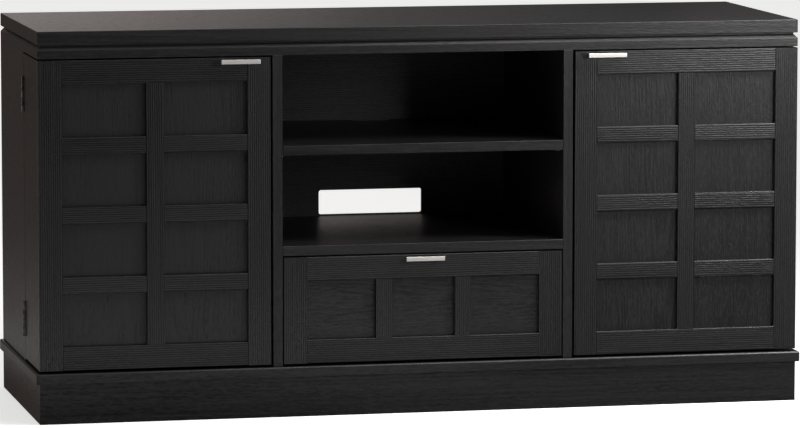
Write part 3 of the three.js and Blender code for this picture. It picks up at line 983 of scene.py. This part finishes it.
def bar_pull(node, body):
    """A square bar on two posts, with softly rounded edges."""
    low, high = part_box(node)
    work = bmesh.new()
    block(work, low, (high.x, low.y + HANDLE_THICK, high.z))
    middle = (low.z + high.z) / 2
    for x in (low.x + HANDLE_POST_INSET, high.x - HANDLE_POST_INSET):
        block(
            work,
            (x - HANDLE_POST / 2, low.y + HANDLE_THICK, middle - HANDLE_POST / 2),
            (x + HANDLE_POST / 2, high.y, middle + HANDLE_POST / 2),
        )
    ease(work, HANDLE_EASE)
    shade_eased(set_in_place(f"{node}_bar", to_mesh(work, node), body, nickel, [node]))


def build_doors():
    """Two deep box doors, each a panelled front on an open-backed box with racks."""
    for side_name, _ in SIDES:
        door = f"door_{side_name}"
        low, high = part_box(f"{door}_frame")
        columns = even_runs(low.x + DOOR_STILE, high.x - DOOR_STILE, DOOR_COLUMNS, DOOR_MUNTIN)
        rows = even_runs(low.z + DOOR_RAIL, high.z - DOOR_RAIL, DOOR_ROWS, DOOR_CROSS_RAIL)
        panelled_front(f"{door}_frame", DOOR_STILE, DOOR_RAIL, columns, rows)
        plain_board(f"{door}_panel", Z, THIN_ARRIS)
        plain_board(f"{door}_outer_side", Z, SEAM_ARRIS, holes=barrel_rebates(side_name))
        plain_board(f"{door}_inner_side", Z)
        for part in ("box_bottom", "box_top", "rack_1", "rack_2"):
            plain_board(f"{door}_{part}", X)
        bar_pull(f"{door}_handle", door)


def build_drawer():
    """Panelled front on a plain box."""
    low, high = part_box("drawer_frame")
    half = DRAWER_MIDDLE_PANEL / 2
    columns = [
        (low.x + DRAWER_STILE, -half - DRAWER_MUNTIN),
        (-half, half),
        (half + DRAWER_MUNTIN, high.x - DRAWER_STILE),
    ]
    rows = [(low.z + DRAWER_RAIL, high.z - DRAWER_RAIL)]
    panelled_front("drawer_frame", DRAWER_STILE, DRAWER_RAIL, columns, rows)
    plain_board("drawer_panel", X, THIN_ARRIS)
    plain_board("drawer_side_left", Y)
    plain_board("drawer_side_right", Y)
    plain_board("drawer_back", X)
    plain_board("drawer_floor", X, THIN_ARRIS)
    bar_pull("drawer_handle", "drawer")


# ---------------------------------------------------------------- ironmongery


def hinge_leaf(side_name, side, place, kind, first_knuckle):
    """One leaf of a hinge: a plate with rounded corners, and every second knuckle from its first.
    Screws hold it to the edge that it lies on."""
    node = f"hinge_{side_name}_{place}_{kind}_leaf"
    low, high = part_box(node)
    axis_x, axis_y = barrel_axis(side_name)
    inner_x = high.x if side < 0 else low.x
    if kind == "case":
        plate_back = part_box(f"side_board_{side_name}")[0].y
        plate_front = plate_back - LEAF_THICK
    else:
        plate_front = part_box(f"door_{side_name}_outer_side")[1].y
        plate_back = plate_front + LEAF_THICK
    work = bmesh.new()
    edge_x = axis_x - side * (BARREL_RADIUS + KNUCKLE_GAP)
    left, right = min(edge_x, inner_x), max(edge_x, inner_x)
    outline = rounded_corners(left, right, low.z, high.z, LEAF_CORNER, IRON_CORNER_STEPS)
    prism(work, outline, plate_front, plate_back, upright=True)
    pitch = (high.z - low.z + KNUCKLE_GAP) / KNUCKLES
    for i in range(first_knuckle, KNUCKLES, 2):
        bottom = low.z + i * pitch
        top = bottom + pitch - KNUCKLE_GAP
        block(
            work,
            (min(axis_x, edge_x), plate_front, bottom + KNUCKLE_EASE),
            (max(axis_x, edge_x), plate_back, top - KNUCKLE_EASE),
        )
        rolled = bmesh.new()
        centre = (axis_x, axis_y, (bottom + top) / 2)
        cylinder(rolled, centre, Z, BARREL_RADIUS, top - bottom, BARREL_SEGMENTS)
        ease(rolled, KNUCKLE_EASE)
        join(work, rolled)
    body = "case" if kind == "case" else f"door_{side_name}"
    piece = set_in_place(f"{node}_plate", to_mesh(work, node), body, hinge_steel, [node])
    shade_eased(piece, IRON_SMOOTH_ANGLE)
    face, outward = (plate_front, -1) if kind == "case" else (plate_back, 1)
    screw_x = (edge_x + inner_x) / 2
    spots = [(screw_x, face, low.z + share * (high.z - low.z)) for share in LEAF_SCREW_SHARES]
    screws(f"{node}_screws", spots, Vector((0, outward, 0)), body, LEAF_SCREW_PROUD)


def screws(name, spots, outward, body, proud):
    """Cross-head screws at these places, facing outward and standing proud of the face by that much."""
    head = bmesh.new()
    cylinder(head, (0, 0, -SCREW_HEAD_DEEP / 2), Z, SCREW_HEAD, SCREW_HEAD_DEEP)
    ease(head, SCREW_EASE, steps=2)
    arms = bmesh.new()
    arm, half = CROSS_ARM, CROSS_WIDE / 2
    quarter = [(half, -arm), (half, -half), (arm, -half)]
    plus = []
    for _ in range(4):
        plus += quarter
        quarter = [(-y, x) for x, y in quarter]
    prism(arms, plus, -CROSS_DEEP, CUT_PAST, upright=False)
    bmesh.ops.recalc_face_normals(arms, faces=arms.faces)
    cut = cut_out(to_mesh(head, "head"), arms)
    turn = outward.to_track_quat("Z", "Y").to_matrix().to_4x4()
    work = bmesh.new()
    for spot in spots:
        spin = Matrix.Rotation(sawing.uniform(0, math.pi / 2), 4, "Z")
        where = Matrix.Translation(Vector(spot) + outward * proud) @ turn @ spin
        placed = cut.copy()
        placed.transform(where)
        work.from_mesh(placed)
        bpy.data.meshes.remove(placed)
    bpy.data.meshes.remove(cut)
    piece = set_in_place(name, to_mesh(work, name), body, screw_steel)
    shade_eased(piece, IRON_SMOOTH_ANGLE)


def build_catches():
    """Magnetic catches on the dividers and the steel plates on the doors that they hold."""
    for side_name, side in SIDES:
        node = f"door_catch_{side_name}"
        low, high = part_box(node)
        work = bmesh.new()
        block(work, (low.x, low.y + POLE_PROUD, low.z), high)
        ease(work, HOUSING_EASE)
        for share in POLE_SHARES:
            x = low.x + share * (high.x - low.x)
            block(
                work,
                (x - POLE_HALF, low.y, low.z + POLE_INSET),
                (x + POLE_HALF, low.y + POLE_PROUD, high.z - POLE_INSET),
            )
        mesh = to_mesh(work, node)
        shade_eased(set_in_place(f"{node}_housing", mesh, "case", hinge_steel, [node]))
        face_x = high.x if side > 0 else low.x
        middle_y = (low.y + high.y) / 2
        levels = (low.z + HOUSING_SCREW_INSET, high.z - HOUSING_SCREW_INSET)
        spots = [(face_x, middle_y, z) for z in levels]
        screws(f"{node}_screws", spots, Vector((side, 0, 0)), "case", HOUSING_SCREW_PROUD)

        node = f"door_{side_name}_strike_plate"
        body = f"door_{side_name}"
        low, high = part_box(node)
        work = bmesh.new()
        outline = rounded_corners(low.x, high.x, low.z, high.z, PLATE_CORNER, IRON_CORNER_STEPS)
        prism(work, outline, low.y, high.y, upright=True)
        bmesh.ops.recalc_face_normals(work, faces=work.faces)
        ease(work, PLATE_EASE, steps=2)
        mesh = to_mesh(work, node)
        shade_eased(set_in_place(f"{node}_steel", mesh, body, hinge_steel, [node]))
        middle_x = (low.x + high.x) / 2
        levels = (low.z + PLATE_SCREW_INSET, high.z - PLATE_SCREW_INSET)
        spots = [(middle_x, high.y, z) for z in levels]
        screws(f"{node}_screws", spots, Vector((0, 1, 0)), body, PLATE_SCREW_PROUD)


def build_hinges():
    """Five-knuckle butt hinges, three knuckles on the case and two on the door."""
    for side_name, side in SIDES:
        for place in HINGE_PLACES:
            hinge_leaf(side_name, side, place, "case", 0)
            hinge_leaf(side_name, side, place, "door", 1)


def build_runners():
    """The drawer's channels keep their CAD shape, in zinc plate."""
    for node, shape in frame["nodes"].items():
        if node.startswith("runner_"):
            shape.data.materials.clear()
            shape.data.materials.append(zinc)


# ---------------------------------------------------------------- studio


def stage_set(name, work, material):
    """Stands a worked shape in the studio as part of its stage."""
    piece = bpy.data.objects.new(name, to_mesh(work, name))
    bpy.context.scene.collection.objects.link(piece)
    piece.data.materials.append(material)
    return piece


def build_floor():
    """A plain pale floor that runs into a pale wall all round. The lacquer doesn't mirror either of them,
    so that it shows the studio's darker surroundings."""
    work = bmesh.new()
    bmesh.ops.create_grid(work, x_segments=20, y_segments=20, size=FLOOR_REACH)
    floor = stage_set("studio_floor", work, painted_studio_floor())
    floor.visible_glossy = False

    work = bmesh.new()
    bmesh.ops.create_cone(
        work,
        cap_ends=False,
        segments=96,
        radius1=WALL_REACH,
        radius2=WALL_REACH,
        depth=FLOOR_REACH,
    )
    wall = stage_set("studio_wall", work, lit_studio_wall())
    for kind in ("visible_diffuse", "visible_glossy", "visible_transmission", "visible_shadow"):
        setattr(wall, kind, False)


def graded_light():
    """A lit card's face: dark at its very end, then bright, then fading along its length."""
    material, tree = new_finish("graded_studio_card")
    along = add(tree, "SeparateXYZ", {"Vector": add(tree, "TexCoord").outputs["Object"]}).outputs["X"]
    share = add(tree, "MapRange", {"Value": along, "From Min": CARD_LEFT, "From Max": CARD_RIGHT})
    fading = add(
        tree,
        "ValToRGB",
        {"Fac": share.outputs["Result"]},
        [
            (0.0, grey(0.0)),
            (0.12, linear("#fff3ee")),
            (0.3, linear("#e6d9d4")),
            (0.65, linear("#706b69")),
            (1.0, grey(0.0)),
        ],
    ).outputs["Color"]
    glow = add(tree, "Emission", {"Color": fading, "Strength": CARD_STRENGTH})
    add(tree, "OutputMaterial", {"Surface": glow.outputs["Emission"]})
    return material


def build_card():
    """A tall card behind, lit at its left end and fading to the right, which the polished top mirrors."""
    work = bmesh.new()
    foot = [(CARD_LEFT, CARD_FOOT), (CARD_RIGHT, CARD_FOOT)]
    top = [(CARD_RIGHT, CARD_TOP), (CARD_LEFT, CARD_TOP)]
    work.faces.new([work.verts.new((x, CARD_BEHIND, z)) for x, z in foot + top])
    card = stage_set("studio_card", work, graded_light())
    card.visible_camera = False
    card.visible_shadow = False


def softbox(name, place, target, width, height, power):
    """A rectangular soft light that faces a point. The lacquer mirrors it, but the camera never sees it."""
    data = bpy.data.lights.new(name, "AREA")
    data.shape = "RECTANGLE"
    data.size = width
    data.size_y = height
    data.energy = power
    light = bpy.data.objects.new(name, data)
    bpy.context.scene.collection.objects.link(light)
    light.location = place
    light.rotation_euler = (Vector(target) - Vector(place)).to_track_quat("-Z", "Y").to_euler()
    light.visible_camera = False


def build_sky():
    """Soft light from overhead, in a studio that is dim at eye level. Low down it is a little brighter in
    front, and a warm wall stands a little brighter behind."""
    world = bpy.data.worlds.new("studio_sky")
    bpy.context.scene.world = world
    world.use_nodes = True
    tree = world.node_tree
    tree.nodes.clear()
    apart = add(tree, "SeparateXYZ", {"Vector": add(tree, "TexCoord").outputs["Generated"]})
    height = add(tree, "MapRange", {"Value": apart.outputs["Z"], "From Min": -1.0, "From Max": 1.0})
    overhead, low_front = (
        add(tree, "ValToRGB", {"Fac": height.outputs["Result"]}, stops).outputs["Color"]
        for stops in (
            [(0.66, grey(0.0)), (0.78, grey(SKY_OVERHEAD))],
            [(0.44, grey(SKY_LOW_FRONT)), (0.5, grey(SKY_LEVEL))],
        )
    )
    wall_top = add(tree, "MapRange", {"Value": apart.outputs["Z"], "From Min": 0.3, "From Max": 0.15})
    front = add(tree, "MapRange", {"Value": apart.outputs["Y"], "From Min": 0.1, "From Max": -0.1})
    inputs = {0: wall_top.outputs["Result"], 6: grey(0.0), 7: grey(SKY_BEHIND)}
    behind = add(tree, "Mix", inputs, data_type="RGBA").outputs[2]
    inputs = {0: 1.0, 6: behind, 7: linear("#ffe8df")}
    warmed = add(tree, "Mix", inputs, data_type="RGBA", blend_type="MULTIPLY").outputs[2]
    inputs = {0: front.outputs["Result"], 6: warmed, 7: low_front}
    level = add(tree, "Mix", inputs, data_type="RGBA").outputs[2]
    both = add(tree, "Mix", {0: 1.0, 6: overhead, 7: level}, data_type="RGBA", blend_type="ADD").outputs[2]
    sky = add(tree, "Background", {"Color": both, "Strength": 1.0})
    add(tree, "OutputWorld", {"Surface": sky.outputs["Background"]})


# Each soft light: where it is, the point it faces, its width and height in metres, and its power in watts.
SOFT_LIGHTS = {
    "key_close_right": ((1.3, -0.85, 1.5), (0.74, -0.25, 0.78), 0.4, 0.4, 25),
    "key_right": ((1.45, -2.3, 1.12), (0.4, -0.25, 0.65), 0.7, 0.7, 14.5),
    "strip_overhead": ((0.7, -0.8, 1.9), (0.7, -0.65, 0.0), 1.2, 0.45, 14),
    "strip_left": ((-2.8, 0.0, 0.6), (-0.8, 0.0, 0.6), 0.25, 1.2, 2.5),
    "bounce_front": ((0.3, -1.9, 0.02), (0.3, -1.9, 1.0), 3.5, 2.6, 3.4),
    "bounce_low_left": ((-0.4, -0.9, 0.02), (-0.4, -0.9, 1.0), 1.3, 0.8, 1.5),
    "bounce_behind_left": ((-1.25, 1.3, 0.02), (-1.25, 1.3, 1.0), 0.8, 2.0, 0.42),
    "bounce_left_foot": ((-1.2, 0.4, 0.02), (-1.2, 0.4, 1.0), 0.6, 1.5, 0.55),
}


def build_studio():
    """The floor and wall, the sky, the card behind, and the soft lights."""
    build_floor()
    build_sky()
    build_card()
    for name, (place, target, width, height, power) in SOFT_LIGHTS.items():
        softbox(name, place, target, width, height, power)
    bpy.context.scene.view_settings.view_transform = "Standard"


def build_camera():
    """A long lens from the left, a little above the top."""
    data = bpy.data.cameras.new("studio_camera")
    data.sensor_width = CAMERA_SENSOR
    data.lens = CAMERA_LENS
    data.clip_end = CAMERA_SIGHT
    camera = bpy.data.objects.new("studio_camera", data)
    bpy.context.scene.collection.objects.link(camera)
    camera.location = CAMERA_PLACE
    camera.rotation_euler = Euler((math.radians(90 - CAMERA_DOWN), 0, math.radians(CAMERA_TURN)))
    bpy.context.scene.camera = camera


build_top()
build_base()
build_case()
build_doors()
build_drawer()
build_hinges()
build_catches()
build_runners()
build_studio()
build_camera()

bpy.context.view_layer.update()
